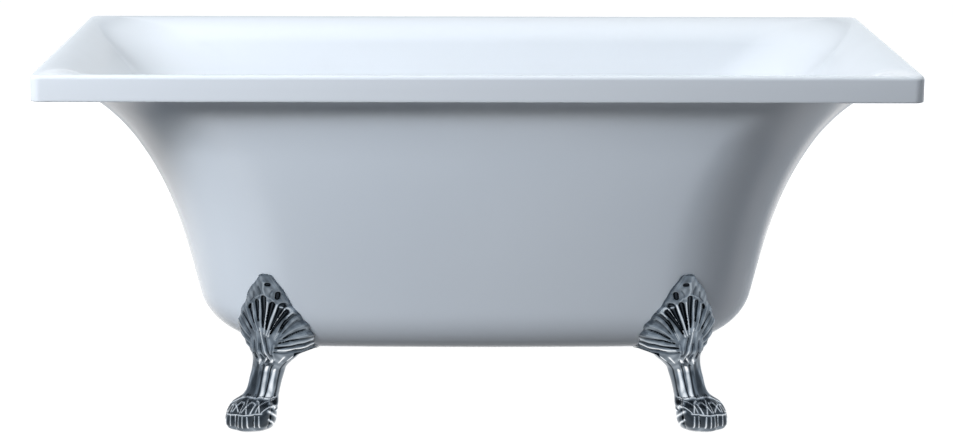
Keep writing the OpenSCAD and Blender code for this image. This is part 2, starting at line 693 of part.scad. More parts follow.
// A shallow cup behind the wall, with a boss for the cover's screw and a spout down to the pipe
module overflow_elbow() {
    boss_r = 7;
    color("whitesmoke") difference() {
        union() {
            at_overflow() translate([0, 0, shell_t + gasket_t]) difference() {
                cylinder(r = elbow_r, h = chamber_h);
                translate([0, 0, -1]) cylinder(r = overflow_r, h = chamber_h - 2);
            }
            at_overflow() translate([0, 0, shell_t + gasket_t]) cylinder(r = boss_r, h = chamber_h);
            at_rise() translate([0, 0, rise_l - socket_l]) cylinder(r = pipe_r + socket_t, h = socket_l + 8);
        }
        at_overflow() cylinder(r = screw_r + slip, h = shell_t + gasket_t + chamber_h - 4);
        at_rise() translate([0, 0, rise_l - socket_l - 4]) cylinder(r = pipe_r, h = socket_l + 4);
        at_rise() translate([0, 0, rise_l - 1]) cylinder(r = pipe_r - pipe_t, h = 15);
    }
}
// The foot of the pipe's rising run, with Z along it
module at_rise() {
    translate([0, -rise_y, rise_z]) rotate([pipe_lean, 0, 0]) children();
}
pipe_in_y = branch_y - 18;
module overflow_pipe_low() {
    color("whitesmoke") translate([0, -pipe_in_y, branch_z]) rotate([90, 0, 0])
        tube(pipe_r, pipe_r - pipe_t, bend_y - pipe_in_y);
}
module overflow_pipe() {
    color("whitesmoke") at_rise() tube(pipe_r, pipe_r - pipe_t, rise_l);
}
// The bend takes both pipes in its sockets
module pipe_bend() {
    bend_wall_r = pipe_r + socket_t - 0.6;
    lap = 0.5;
    color("whitesmoke") difference() {
        union() {
            at_bend() rotate_extrude(angle = bend_angle) translate([bend_r, 0]) circle(r = bend_wall_r);
            translate([0, -bend_y - lap, branch_z]) rotate([-90, 0, 0])
                cylinder(r = pipe_r + socket_t, h = socket_l + lap);
            at_rise() translate([0, 0, -lap]) cylinder(r = pipe_r + socket_t, h = socket_l + lap);
        }
        at_bend() rotate_extrude(angle = bend_angle) translate([bend_r, 0]) circle(r = pipe_r - pipe_t);
        translate([0, -bend_y, branch_z]) rotate([-90, 0, 0]) cylinder(r = pipe_r, h = socket_l + 1);
        at_rise() cylinder(r = pipe_r, h = socket_l + 1);
    }
}
module at_bend() {
    mirror([0, 1, 0]) translate([0, bend_y, branch_z + bend_r]) rotate([0, 90, 0]) children();
}
ring_h = 12;
module pipe_ring(r) {
    difference() {
        cylinder(r = r, h = ring_h, $fn = 12);
        translate([0, 0, -1]) cylinder(r = pipe_r, h = ring_h + 2);
    }
}
module pipe_ring_top() {
    color("lightgray") at_rise() translate([0, 0, rise_l - socket_l - ring_h]) pipe_ring(pipe_r + 4);
}
module pipe_ring_low() {
    color("lightgray") translate([0, -branch_y, branch_z]) rotate([90, 0, 0]) pipe_ring(branch_r + 1);
}

bath_shell();
outer_skin();
rim_batten_front();
rim_batten_back();
rim_batten_left();
rim_batten_right();
base_board();
cross_bearer_left();
cross_bearer_right();
leg_front_left();
leg_front_right();
leg_back_left();
leg_back_right();
leg_bolts();
leg_washers();
board_inserts();
level_stud_front_left();
level_stud_front_right();
level_stud_back_left();
level_stud_back_right();
glide_pad_front_left();
glide_pad_front_right();
glide_pad_back_left();
glide_pad_back_right();
waste_flange();
waste_seal_top();
waste_seal_under();
waste_backnut();
waste_tee();
plug_cap();
plug_seal();
plug_stem();
plug_cartridge();
plug_spring();
overflow_cover();
overflow_screw();
overflow_gasket();
overflow_elbow();
overflow_pipe();
pipe_bend();
overflow_pipe_low();
pipe_ring_top();
pipe_ring_low();
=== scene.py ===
"""A freestanding bath on four cast claw legs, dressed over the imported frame.

Z is up and the front is -Y. Forms are drawn in millimetres, and scaled to metres as pieces are made.
"""
import math

import bmesh
import bpy
import numpy as np
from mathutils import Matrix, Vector


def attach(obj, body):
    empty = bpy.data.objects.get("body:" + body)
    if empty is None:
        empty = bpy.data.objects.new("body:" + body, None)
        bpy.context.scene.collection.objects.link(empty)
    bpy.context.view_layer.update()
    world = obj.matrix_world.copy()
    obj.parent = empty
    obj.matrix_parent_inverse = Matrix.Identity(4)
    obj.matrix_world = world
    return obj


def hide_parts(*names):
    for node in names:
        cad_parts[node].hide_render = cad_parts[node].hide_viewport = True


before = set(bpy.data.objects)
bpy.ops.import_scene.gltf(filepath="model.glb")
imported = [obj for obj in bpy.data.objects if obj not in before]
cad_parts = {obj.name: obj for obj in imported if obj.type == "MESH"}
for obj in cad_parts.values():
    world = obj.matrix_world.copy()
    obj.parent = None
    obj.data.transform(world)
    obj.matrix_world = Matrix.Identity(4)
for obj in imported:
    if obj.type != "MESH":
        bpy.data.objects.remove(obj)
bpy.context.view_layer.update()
scene = bpy.context.scene

# Camera
cam = bpy.data.cameras.new("camera")
cam.lens = 94.6
cam.sensor_width = 36
cam.sensor_fit = "HORIZONTAL"
cam.clip_end = 60
camera = bpy.data.objects.new("camera", cam)
# Fitted to the rim's corners and the feet in the photograph
CAMERA_AWAY, CAMERA_ASIDE, CAMERA_UP = 4.508, -0.0014, 1.289
swing = math.radians(0.6)
camera.location = (-CAMERA_AWAY * math.sin(swing) + CAMERA_ASIDE, -CAMERA_AWAY * math.cos(swing), CAMERA_UP)
camera.rotation_euler = (math.radians(77.6), math.radians(-0.2), -swing)
scene.collection.objects.link(camera)
scene.camera = camera
scene.view_settings.view_transform = "Standard"
scene.view_settings.look = "None"


# Materials
def material(name, metallic=0.0, coat=0.0, coat_rough=0.03, ior=1.5):
    """An empty Principled material and its node tree."""
    m = bpy.data.materials.new(name)
    m.use_nodes = True
    b = m.node_tree.nodes["Principled BSDF"]
    b.inputs["Metallic"].default_value = metallic
    b.inputs["Coat Weight"].default_value = coat
    b.inputs["Coat Roughness"].default_value = coat_rough
    b.inputs["IOR"].default_value = ior
    return m, m.node_tree, b


def noise(t, scale, detail=3.0, stretch=None, rough=0.5):
    """A noise texture over the object's own space, stretched along its axes."""
    at = t.nodes.new("ShaderNodeTexCoord")
    out = at.outputs["Object"]
    if stretch:
        scaled = t.nodes.new("ShaderNodeMapping")
        scaled.inputs["Scale"].default_value = stretch
        t.links.new(out, scaled.inputs["Vector"])
        out = scaled.outputs["Vector"]
    n = t.nodes.new("ShaderNodeTexNoise")
    n.inputs["Scale"].default_value = scale
    n.inputs["Detail"].default_value = detail
    n.inputs["Roughness"].default_value = rough
    t.links.new(out, n.inputs["Vector"])
    return n.outputs["Fac"]


def ramp(t, fac, stops, to):
    """Colours over a range of fac, led to a socket."""
    r = t.nodes.new("ShaderNodeValToRGB")
    while len(r.color_ramp.elements) < len(stops):
        r.color_ramp.elements.new(0.5)
    for e, (place, colour) in zip(r.color_ramp.elements, stops):
        e.position = place
        e.color = (*colour, 1)
    t.links.new(fac, r.inputs["Fac"])
    t.links.new(r.outputs["Color"], to)


def span(t, fac, low, high, to):
    """fac from 0.3..0.7 mapped to low..high, led to a socket."""
    r = t.nodes.new("ShaderNodeMapRange")
    for k, v in zip(("From Min", "From Max", "To Min", "To Max"), (0.3, 0.7, low, high)):
        r.inputs[k].default_value = v
    t.links.new(fac, r.inputs["Value"])
    t.links.new(r.outputs["Result"], to)


def bump(t, fac, b, strength, distance):
    """Fine relief from fac, led to the shader's normal."""
    n = t.nodes.new("ShaderNodeBump")
    n.inputs["Strength"].default_value = strength
    n.inputs["Distance"].default_value = distance
    t.links.new(fac, n.inputs["Height"])
    t.links.new(n.outputs["Normal"], b.inputs["Normal"])


def gloss_white(name, light, dark, low, high):
    """Polished white acrylic, a little uneven in colour and gloss."""
    m, t, b = material(name, coat=0.2, coat_rough=0.04, ior=1.45)
    ramp(t, noise(t, 2.2), [(0.3, dark), (0.7, light)], b.inputs["Base Color"])
    span(t, noise(t, 9.0, 5), low, high, b.inputs["Roughness"])
    bump(t, noise(t, 160.0, 2), b, 0.03, 0.0004)
    return m


def metal(name, light, dark, low, high, scale=30.0, grain=0.05):
    """Plain metal, from low to high in roughness."""
    m, t, b = material(name, metallic=1.0)
    ramp(t, noise(t, scale, 4), [(0.35, dark), (0.65, light)], b.inputs["Base Color"])
    span(t, noise(t, scale * 3, 5), low, high, b.inputs["Roughness"])
    bump(t, noise(t, scale * 12, 3), b, grain, 0.0003)
    return m


def plastic(name, light, dark, low, high, scale=25.0, strength=0.1):
    """Moulded plastic or rubber with a fine surface."""
    m, t, b = material(name)
    ramp(t, noise(t, scale, 4), [(0.3, dark), (0.7, light)], b.inputs["Base Color"])
    span(t, noise(t, scale * 2, 4), low, high, b.inputs["Roughness"])
    bump(t, noise(t, scale * 20, 2), b, strength, 0.0004)
    return m


def timber(name, stretch):
    """Sawn timber whose grain runs along the axis that is stretched least."""
    m, t, b = material(name)
    ramp(t, noise(t, 14.0, 8, stretch, 0.65),
         [(0.25, (0.36, 0.22, 0.11)), (0.5, (0.55, 0.38, 0.21)), (0.75, (0.68, 0.5, 0.3))],
         b.inputs["Base Color"])
    span(t, noise(t, 40.0, 4, stretch), 0.5, 0.75, b.inputs["Roughness"])
    bump(t, noise(t, 60.0, 6, stretch), b, 0.25, 0.0006)
    return m


acrylic = gloss_white("acrylic", (0.92, 0.94, 0.955), (0.905, 0.925, 0.945), 0.12, 0.19)
skin_white = gloss_white("skin_acrylic", (0.89, 0.925, 0.955), (0.87, 0.905, 0.94), 0.16, 0.24)


def cast_metal(name, low, high):
    """Plated metal whose colour is the mesh's own tone of painted light, from painted shade in the hollows to
    painted highlights on the ridges.
    """
    m, t, b = material(name, metallic=1.0)
    own = t.nodes.new("ShaderNodeVertexColor")
    own.layer_name = "painted_light_tone"
    mix = t.nodes.new("ShaderNodeMix")
    mix.data_type = "RGBA"
    mix.blend_type = "MULTIPLY"
    factor, colour_a, colour_b = mix.inputs[0], mix.inputs[6], mix.inputs[7]
    factor.default_value = 1.0
    t.links.new(own.outputs["Color"], colour_a)
    ramp(t, noise(t, 70.0, 4), [(0.3, (0.9, 0.915, 0.93)), (0.7, (1, 1, 1))], colour_b)
    t.links.new(mix.outputs[2], b.inputs["Base Color"])
    span(t, noise(t, 120.0, 4), low, high, b.inputs["Roughness"])
    bump(t, noise(t, 420.0, 3), b, 0.12, 0.0003)
    return m


chrome = cast_metal("cast_chrome", 0.14, 0.26)
trim = metal("trim_chrome", (0.82, 0.83, 0.84), (0.76, 0.78, 0.80), 0.04, 0.08, 40.0, 0.02)
zinc = metal("zinc_steel", (0.62, 0.63, 0.62), (0.45, 0.46, 0.47), 0.3, 0.5, 90.0, 0.15)
brass = metal("brass", (0.70, 0.55, 0.30), (0.58, 0.43, 0.22), 0.25, 0.4, 60.0, 0.1)
pad_rubber = plastic("pad_rubber", (0.05, 0.05, 0.052), (0.03, 0.03, 0.032), 0.55, 0.75, 60.0, 0.3)
seal_rubber = plastic("seal_rubber", (0.07, 0.07, 0.072), (0.04, 0.04, 0.042), 0.5, 0.7, 60.0, 0.2)
white_pipe = plastic("pipe_plastic", (0.80, 0.80, 0.78), (0.74, 0.74, 0.72), 0.3, 0.45, 20.0, 0.08)
dark_plastic = plastic("dark_plastic", (0.10, 0.10, 0.11), (0.07, 0.07, 0.075), 0.35, 0.5, 40.0, 0.1)
board_wood = timber("board_timber", (0.35, 4, 4))
end_wood = timber("end_timber", (4, 0.35, 4))


# Forms
MM = 0.001                                          # they are drawn in millimetres


def bez(p, t):
    """Points on a cubic curve between arrays of numbers."""
    p, t = np.array(p, float), np.atleast_1d(t)[:, None]
    return (1 - t) ** 3 * p[0] + 3 * t * (1 - t) ** 2 * p[1] + 3 * t * t * (1 - t) * p[2] + t ** 3 * p[3]


def section(s, nc=24, nl=14, ns=6):
    """One level ring of a bath's form from [half length, half width, height, corner radius, bow]."""
    a, b, z, r, bow = s
    pts = []
    for q in range(4):
        cx = (a - r) * (1 if q in (0, 3) else -1)
        cy = (b - r) * (1 if q < 2 else -1)
        w = np.pi / 2 * (q + np.arange(nc + 1) / nc)
        pts += [(cx + r * c, cy + r * d) for c, d in zip(np.cos(w), np.sin(w))]
        steps = nl if q % 2 == 0 else ns
        for i in range(1, steps):
            f = 1 - 2 * i / steps
            end = np.pi / 2 * (q + 1)
            pts.append((cx * f, cy + r * math.sin(end)) if q % 2 == 0 else (cx + r * math.cos(end), cy * f))
    p = np.array(pts)
    y = p[:, 1] * (1 + bow / b * (1 - (p[:, 0] / a) ** 2))
    return np.stack([p[:, 0], y, np.full(len(p), z)], 1)


def grid_normals(g):
    """Unit normals of a grid of points whose rows are closed rings."""
    along = np.empty_like(g)
    along[1:-1] = g[2:] - g[:-2]
    along[0], along[-1] = g[1] - g[0], g[-1] - g[-2]
    around = np.roll(g, -1, 1) - np.roll(g, 1, 1)
    n = np.cross(around, along)
    return n / np.maximum(np.linalg.norm(n, axis=2, keepdims=True), 1e-9)


def disc(ring, r, z):
    """A circle with a point in line with each point of a ring."""
    w = np.arctan2(ring[:, 1], ring[:, 0])
    return np.stack([r * np.cos(w), r * np.sin(w), np.full(len(w), z)], 1)


def piece(name, places, faces, mat, body="bath", sharp=35.0):
    """A smooth piece of the object from places in millimetres, riding on a body."""
    me = bpy.data.meshes.new(name)
    me.from_pydata((np.asarray(places) * MM).tolist(), [], faces)
    me.validate()
    ob = bpy.data.objects.new(name, me)
    scene.collection.objects.link(ob)
    me.materials.append(mat)
    me.polygons.foreach_set("use_smooth", [True] * len(me.polygons))
    me.set_sharp_from_angle(angle=math.radians(sharp))
    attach(ob, body)
    return ob


def hoops(g, closed):
    """Faces between successive rings, and from the last back to the first where closed."""
    m, n = g.shape[:2]
    out = []
    for i in range(m if closed else m - 1):
        k = (i + 1) % m
        for j in range(n):
            l = (j + 1) % n
            out.append((i * n + j, k * n + j, k * n + l, i * n + l))
    return out


def ahead(p, k):
    """The point that lies on from a cubic curve's end, k times its last handle away."""
    return (np.array(p[3]) + k * (np.array(p[3]) - np.array(p[2]))).tolist()


RIM_A, RIM_B, RIM_Z = 750, 375, 630                 # the rim's half length, half width and height
RIM_CORNER, RIM_ROUND = 19, 7                       # the radius of its corners, and of its outer edge
LIP_LOW, LIP_ROUND = 587, 2                         # where the turned-down lip rounds under, and its radius
WASTE_R, SERVICE_R = 21.5, 76                       # holes in the basin's floor and in the underside
floor_z, base_z = 226, 130                          # the basin's floor at the waste, and the underside
shell_t, skin_t = 5, 4                              # thicknesses

# The shell: from the waste over the floor, up the wall, out to the rim, down its lip, and back underneath
wall = [[504, 261, 310, 176, 0], [535.54, 275, 401.667, 186, 0], [580.36, 289, 493.333, 190, 0],
        [670, 303, 585, 150, 0]]
wall_np = np.array(wall)
curve = [[412, 180, 236, 110, 0], [467.2, 228.6, 238, 150, 0],
         (wall_np[0] - 0.45 * (wall_np[1] - wall_np[0])).tolist(), wall[0]]
slope = [wall[3], ahead(wall, 0.33), [725, 344, 630, 100, 0], [743, 368, 630, 12, 0]]
stations = [[62, 56, 226, 52, 0], [70, 62, 226, 56, 0], [80, 70, 227.5, 62, 0]]
stations += [[80 + 332 * t, 70 + 110 * t, 227.5 + 8.5 * t, 62 + 48 * t, 0] for t in (0.2, 0.4, 0.6, 0.8)]
stations += bez(curve, np.linspace(0, 1, 19)).tolist()
stations += bez(wall, np.linspace(0, 1, 25)[1:]).tolist()
stations += bez(slope, np.linspace(0, 1, 25)[1:]).tolist()
for w in np.radians(np.arange(10, 91, 10)):
    stations.append([RIM_A - RIM_ROUND + RIM_ROUND * math.sin(w), RIM_B - RIM_ROUND + RIM_ROUND * math.sin(w),
                     RIM_Z - RIM_ROUND * (1 - math.cos(w)), RIM_CORNER - RIM_ROUND * (1 - math.sin(w)), 0])
stations += [[RIM_A, RIM_B, 606, RIM_CORNER, 0], [RIM_A, RIM_B, 590, RIM_CORNER, 0]]
inner = np.stack([section(s) for s in stations])
under = inner + shell_t * grid_normals(inner)
lip = []
for w in np.radians([0, 30, 60, 90]):
    inset, down = LIP_ROUND * (1 - math.cos(w)), LIP_ROUND * math.sin(w)
    lip.append(section([RIM_A - inset, RIM_B - inset, LIP_LOW - down, RIM_CORNER - inset, 0]))
lip += [section([RIM_A - shell_t + e, RIM_B - shell_t + e, z, RIM_CORNER - shell_t + e, 0])
        for e, z in ((1, 585), (0.3, 585.3), (0, 586))]
shell = np.concatenate([
    [disc(inner[0], WASTE_R, floor_z)], [disc(inner[0], 40, floor_z)], inner, lip, under[::-1],
    [disc(inner[0], WASTE_R, floor_z - shell_t)]])
tub = piece("bath_form", shell.reshape(-1, 3), hoops(shell, True), acrylic)
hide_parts("bath_shell")

# The skin: from the service hole over the underside, up the wall, out under the rim, and back inside
low_z, neck_z = 200, 480                            # where the wall starts and ends
bow = 12                                            # how far its long sides swell
skin_wall = [[495, 287, 200, 180, bow], [519.02, 297.655, 293.333, 200, bow],
             [538.67, 308.309, 386.667, 215, bow], [604.17, 318.964, 480, 225, bow]]
flare = [skin_wall[3], ahead(skin_wall, 0.48), [686.56, 344.74, 578.5, 215, 4],
         [723.02, 355.948, 587, 190, 0]]
under_turn = math.radians(78)                       # how far the lower curve turns before it meets the wall
curve_h = (low_z - base_z) / (1 - math.cos(under_turn))
reach = [(skin_wall[1][k] - skin_wall[0][k]) * 3 / (neck_z - low_z) * curve_h * math.tan(under_turn)
         for k in (0, 1)]
turn_sin = math.sin(under_turn)
flat_a, flat_b = skin_wall[0][0] - reach[0] * turn_sin, skin_wall[0][1] - reach[1] * turn_sin


def low_station(w):
    """The skin's lower curve at w radians round it, as an array of stations."""
    w = np.atleast_1d(w)
    return np.stack([flat_a + reach[0] * np.sin(w), flat_b + reach[1] * np.sin(w),
                     base_z + curve_h * (1 - np.cos(w)), 110 + 70 * np.sin(w) / turn_sin,
                     np.full(len(w), float(bow))], 1)


def skin_at(z):
    """The skin's stations at heights z."""
    z = np.atleast_1d(z).astype(float)
    low = low_station(np.arccos(np.clip(1 - (z - base_z) / curve_h, -1, 1)))
    high = bez(skin_wall, np.clip((z - low_z) / (neck_z - low_z), 0, 1))
    return np.where((z < low_z)[:, None], low, high)


sk = [[flat_a - 20, flat_b - 20, base_z, 90, bow * (flat_b - 20) / flat_b]]
sk += low_station(np.radians(np.linspace(0, 78, 15)[:-1])).tolist()
sk += bez(skin_wall, np.linspace(0, 1, 25)).tolist()
sk += bez(flare, np.linspace(0, 1, 19)[1:]).tolist()
sk += [[744.7, 369.7, 587, 14, 0]]
outer = np.stack([section(s) for s in sk])
inside = outer - skin_t * grid_normals(outer)
skin = np.concatenate([[disc(outer[0], SERVICE_R, base_z)], outer, inside[::-1],
                       [disc(outer[0], SERVICE_R, base_z + skin_t)]])
skin_ob = piece("outer_form", skin.reshape(-1, 3), hoops(skin, True), skin_white, sharp=40)
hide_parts("outer_skin")


def cut(ob, places, faces):
    """Cuts a closed form out of a piece, and keeps its smooth faces."""
    me = bpy.data.meshes.new("cutter")
    me.from_pydata((np.asarray(places) * MM).tolist(), [], faces)
    tool = bpy.data.objects.new("cutter", me)
    scene.collection.objects.link(tool)
    mod = ob.modifiers.new("cut", "BOOLEAN")
    mod.object = tool
    mod.operation = "DIFFERENCE"
    mod.solver = "EXACT"
    bpy.context.view_layer.update()
    done = bpy.data.meshes.new_from_object(ob.evaluated_get(bpy.context.evaluated_depsgraph_get()))
    ob.modifiers.clear()
    old = ob.data
    ob.data = done
    bpy.data.meshes.remove(old)
    bpy.data.objects.remove(tool)
    done.polygons.foreach_set("use_smooth", [True] * len(done.polygons))
    done.set_sharp_from_angle(angle=math.radians(35))


# The overflow hole, square to the front wall
OVERFLOW_Z, OVERFLOW_R = 545.0, 22                  # its middle's height and its radius
lean = math.atan((wall[3][1] - wall[0][1]) / (wall[3][2] - wall[0][2]))
over = np.array([0, -(wall[0][1] + (OVERFLOW_Z - wall[0][2]) * math.tan(lean)), OVERFLOW_Z])
over_out = np.array([0, -math.cos(lean), -math.sin(lean)])
over_up = np.array([0, -math.sin(lean), math.cos(lean)])
n = 48
w = np.linspace(0, 2 * np.pi, n, endpoint=False)
round_hole = OVERFLOW_R * (np.outer(np.cos(w), [1, 0, 0]) + np.outer(np.sin(w), over_up))
rings = [over + k * over_out + round_hole for k in (-20, 30)]
caps = [tuple(range(n)), tuple(range(2 * n - 1, n - 1, -1))]
cut(tub, np.concatenate(rings), caps + [(j, n + j, n + (j + 1) % n, (j + 1) % n) for j in range(n)])

# Legs
yaw = math.radians(37)                              # how far a leg turns out from the bath's width
OUT = np.array([math.sin(yaw), math.cos(yaw)])      # a leg's own directions, from its root under the body
SIDE = np.array([math.cos(yaw), -math.sin(yaw)])
ROOT = np.array([324.0, 222.0])
# Below the body: share of the height, middle, reach to the front and behind, half width, middle of the width
LOW = np.array([
    [0, 109, 38, 36, 33, 0], [0.04, 114, 43, 40, 39, 0], [0.12, 113, 46, 41, 44, 0],
    [0.22, 109, 46, 40, 43, 0], [0.32, 101, 42, 37, 40, 0], [0.41, 88, 35, 33, 30, 0],
    [0.49, 81, 30, 29, 29, 0], [0.62, 74, 28, 27, 30, 0], [0.76, 66, 28, 27, 31, 0],
    [0.87, 62, 32, 31, 36, -5], [0.94, 60, 35, 38, 42, -9], [1, 61, 37, 38, 45, -14]])
# The leaf on the body's corner: share of its height, thickness, half width, middle of the width
LEAF = np.array([
    [0.006, 88, 43, -15], [0.05, 70, 42, -16], [0.11, 56, 49, -15], [0.21, 42, 56, -13], [0.32, 32, 57, -11],
    [0.43, 25, 52, -10], [0.56, 19, 43, -9], [0.70, 15, 33, -9], [0.84, 12, 25, -11], [0.94, 10, 15, -12],
    [1, 8, 9, -12]])
LEAF_H = 139                                        # the leaf's height above the underside


def smooth_through(x, xs, ys):
    """Values at x on a smooth curve through the points, with no overshoot."""
    h = np.diff(xs)
    d = np.diff(ys) / h
    m = np.zeros(len(xs))
    same = d[:-1] * d[1:] > 0
    w1, w2 = 2 * h[1:] + h[:-1], h[1:] + 2 * h[:-1]
    inner_m = np.zeros(len(d) - 1)
    inner_m[same] = (w1 + w2)[same] / (w1[same] / d[:-1][same] + w2[same] / d[1:][same])
    m[1:-1] = inner_m
    m[0], m[-1] = d[0], d[-1]
    i = np.clip(np.searchsorted(xs, x) - 1, 0, len(h) - 1)
    t = (x - xs[i]) / h[i]
    return ((1 + 2 * t) * (1 - t) ** 2 * ys[i] + t * (1 - t) ** 2 * h[i] * m[i]
            + t * t * (3 - 2 * t) * ys[i + 1] + t * t * (t - 1) * h[i] * m[i + 1])


def skin_reach(w, z):
    """Distance along u from the leg's root to the skin at side offset w and height z."""
    s = skin_at(z.ravel())
    w = w.ravel()
    lo, hi = np.full(len(w), -160.0), np.full(len(w), 200.0)
    for _ in range(24):
        mid = (lo + hi) / 2
        x = ROOT[0] + w * SIDE[0] + mid * OUT[0]
        y = ROOT[1] + w * SIDE[1] + mid * OUT[1]
        y = y / (1 + s[:, 4] / s[:, 1] * (1 - (x / s[:, 0]) ** 2))      # without the bow
        dx, dy = x - (s[:, 0] - s[:, 3]), y - (s[:, 1] - s[:, 3])
        d = np.hypot(np.maximum(dx, 0), np.maximum(dy, 0)) + np.minimum(np.maximum(dx, dy), 0) - s[:, 3]
        hi = np.where(d > 0, mid, hi)
        lo = np.where(d > 0, lo, mid)
    return (lo + hi) / 2


def step(a, b, x):
    """0 before a, 1 after b, and smooth between them."""
    t = np.clip((x - a) / (b - a), 0, 1)
    return t * t * (3 - 2 * t)


def bell(x, c, w):
    """1 at c, and falling off over w on both sides."""
    return np.exp(-((x - c) / w) ** 2)


NJ = 320                                            # points round a leg
SOLE, PAW_TOP, SHANK_TOP = 2, 58, 129.7             # heights of the casting's parts
f = np.linspace(0, 360, NJ, endpoint=False)
f = np.where(f > 180, f - 360, f)
fr = np.radians(f)
z_low = np.concatenate([np.linspace(SOLE, PAW_TOP, 58, endpoint=False), np.linspace(PAW_TOP, SHANK_TOP, 48)])
z_leaf = base_z + LEAF_H * np.concatenate([np.linspace(0.006, 0.94, 116), np.linspace(0.95, 1, 7)])
share = (z_low - SOLE) / (SHANK_TOP - SOLE)
mid, front, behind, half, mid_w = (
    smooth_through(share, LOW[:, 0], LOW[:, k])[:, None] for k in (1, 2, 3, 4, 5))
cf, sf = np.cos(fr)[None], np.sin(fr)[None]
toes = smooth_through(share, LOW[:, 0], np.array([2, 4, 6, 6, 5, 3, 1, 0, 0, 0, 0, 0.0]))[:, None]
toe = np.where(np.abs(f)[None] < 90, toes * (np.abs(np.sin(np.radians((f + 90) * 4)))[None] - 0.5), 0)
u_low = mid + np.where(cf > 0, front + toe, behind) * cf
w_low = mid_w - (half + toe) * sf
sl = (z_leaf - base_z) / LEAF_H
thick, hw, leaf_w = (smooth_through(sl, LEAF[:, 0], LEAF[:, k])[:, None] for k in (1, 2, 3))
w_leaf = leaf_w - hw * sf
zz = np.broadcast_to(z_leaf[:, None], w_leaf.shape)


def clear_of_skin(share_up):
    """The leaf's clearance from the skin, wider at its foot."""
    return 0.6 * (1 + 6 * np.clip(1 - share_up, 0, 1) ** 12)


u_leaf = skin_reach(w_leaf, zz).reshape(w_leaf.shape) + clear_of_skin(sl[:, None])
u_leaf += np.where(cf > 0, thick * np.maximum(cf, 0) ** 0.6, 0)
U = np.concatenate([u_low, u_leaf])
W = np.concatenate([w_low, w_leaf])
Z = np.concatenate([np.broadcast_to(z_low[:, None], w_low.shape), zz])

# The front is eased across the join of shank and leaf
ease = (bell(Z, base_z, 16) * step(-0.05, 0.35, np.cos(fr))[None]) * 0.5
for _ in range(60):
    for A in (U, W):
        between = A.copy()
        between[1:-1] = (A[2:] + A[:-2]) / 2
        A += ease * (between - A)

base = np.stack([U, W, Z], 2)
nrm = grid_normals(base)
if nrm[:, 0, 0].mean() < 0:
    nrm = -nrm
F = np.broadcast_to(f[None], Z.shape)
facing = np.cos(np.radians(F))
face = step(-0.1, 0.25, facing)                     # 1 on the front, 0 behind

# The ornament: strokes over the leg's face that raise or sink it, and set its tone from 0, black, to 1,
# white; this tone is painted light, with painted shade in the hollows and painted highlights and reflections
# on the ridges
arc = -0.5 * F                                      # way round the shank, in about millimetres
d = np.zeros_like(Z)
painted_light_tone = np.full_like(Z, 0.46)


def stroke(pts, w0, w1, rise, to, where=W, power=2.0, mask=1.0):
    """A line through (across, height) points, from half width w0 to w1, that rises and takes a tone of
    painted light, dark for painted shade and light for a painted highlight.
    """
    global d, painted_light_tone
    q = np.array(pts, float)
    k = np.arange(len(q), dtype=float)
    t = np.linspace(0, len(q) - 1, 5 * (len(q) - 1) + 1)
    through = smooth_through if len(q) > 2 else np.interp
    q = np.stack([through(t, k, q[:, 0]), through(t, k, q[:, 1])], 1)
    best, along = np.full_like(Z, 1e9), np.zeros_like(Z)
    for m in range(len(q) - 1):
        a, v = q[m], q[m + 1] - q[m]
        g = np.clip(((where - a[0]) * v[0] + (Z - a[1]) * v[1]) / max(v @ v, 1e-9), 0, 1)
        r = np.hypot(where - a[0] - g * v[0], Z - a[1] - g * v[1])
        along = np.where(r < best, (m + g) / (len(q) - 1), along)
        best = np.minimum(best, r)
    k = np.exp(-(best / (w0 + (w1 - w0) * along)) ** power) * mask
    d = d + rise * k
    painted_light_tone = painted_light_tone + (to - painted_light_tone) * k


front_on = step(-0.35, 0.05, facing)
leafy = step(128, 140, Z)
paw = step(57, 50, Z) * step(112, 92, np.abs(F))
not_shank = step(60, 56, Z)
painted_light_tone = painted_light_tone + face * (0.08 * np.sin(W * 0.21 + Z * 0.13) + 0.05 * np.sin(W * 0.5 - Z * 0.31))
# The paw's ground is darkened: painted shade
painted_light_tone = painted_light_tone + (0.10 - painted_light_tone) * paw * step(10, 16, Z) * 0.85
# Fan of recesses, from the throat to the crest, with ridges between; painted shade in the recesses and
# painted highlights on the ridges
for pts, w, deep, dark in (
        ([(-27, 168), (-33, 182), (-46, 205)], 3.4, 6, 0.02),
        ([(-27, 176), (-33, 195), (-40, 217)], 4.4, 7, 0.02),
        ([(-20, 176), (-22, 197), (-26, 219)], 3.8, 7, 0.05),
        ([(-14, 180), (-13, 205), (-12, 230)], 3.9, 6, 0.14),
        ([(-5, 190), (-2, 207), (0, 223)], 3.3, 5, 0.12), ([(2, 186), (9, 202), (14, 213)], 2.6, 4, 0.2),
        ([(6, 176), (18, 190), (28, 200)], 2.4, 4, 0.2)):
    stroke(pts, 0.9, w, -deep, dark, power=4, mask=leafy)
for pts, lit in (
        ([(-24, 164), (-31, 184), (-44, 212)], 0.95), ([(-21, 166), (-26, 190), (-33, 219)], 0.9),
        ([(-17, 168), (-18, 195), (-19, 224)], 0.85), ([(-12, 170), (-8, 200), (-6, 228)], 0.75),
        ([(-6, 174), (4, 200), (7, 220)], 0.7), ([(0, 172), (13, 196), (21, 210)], 0.6)):
    stroke(pts, 1.0, 1.3, 1.4, lit, mask=leafy)
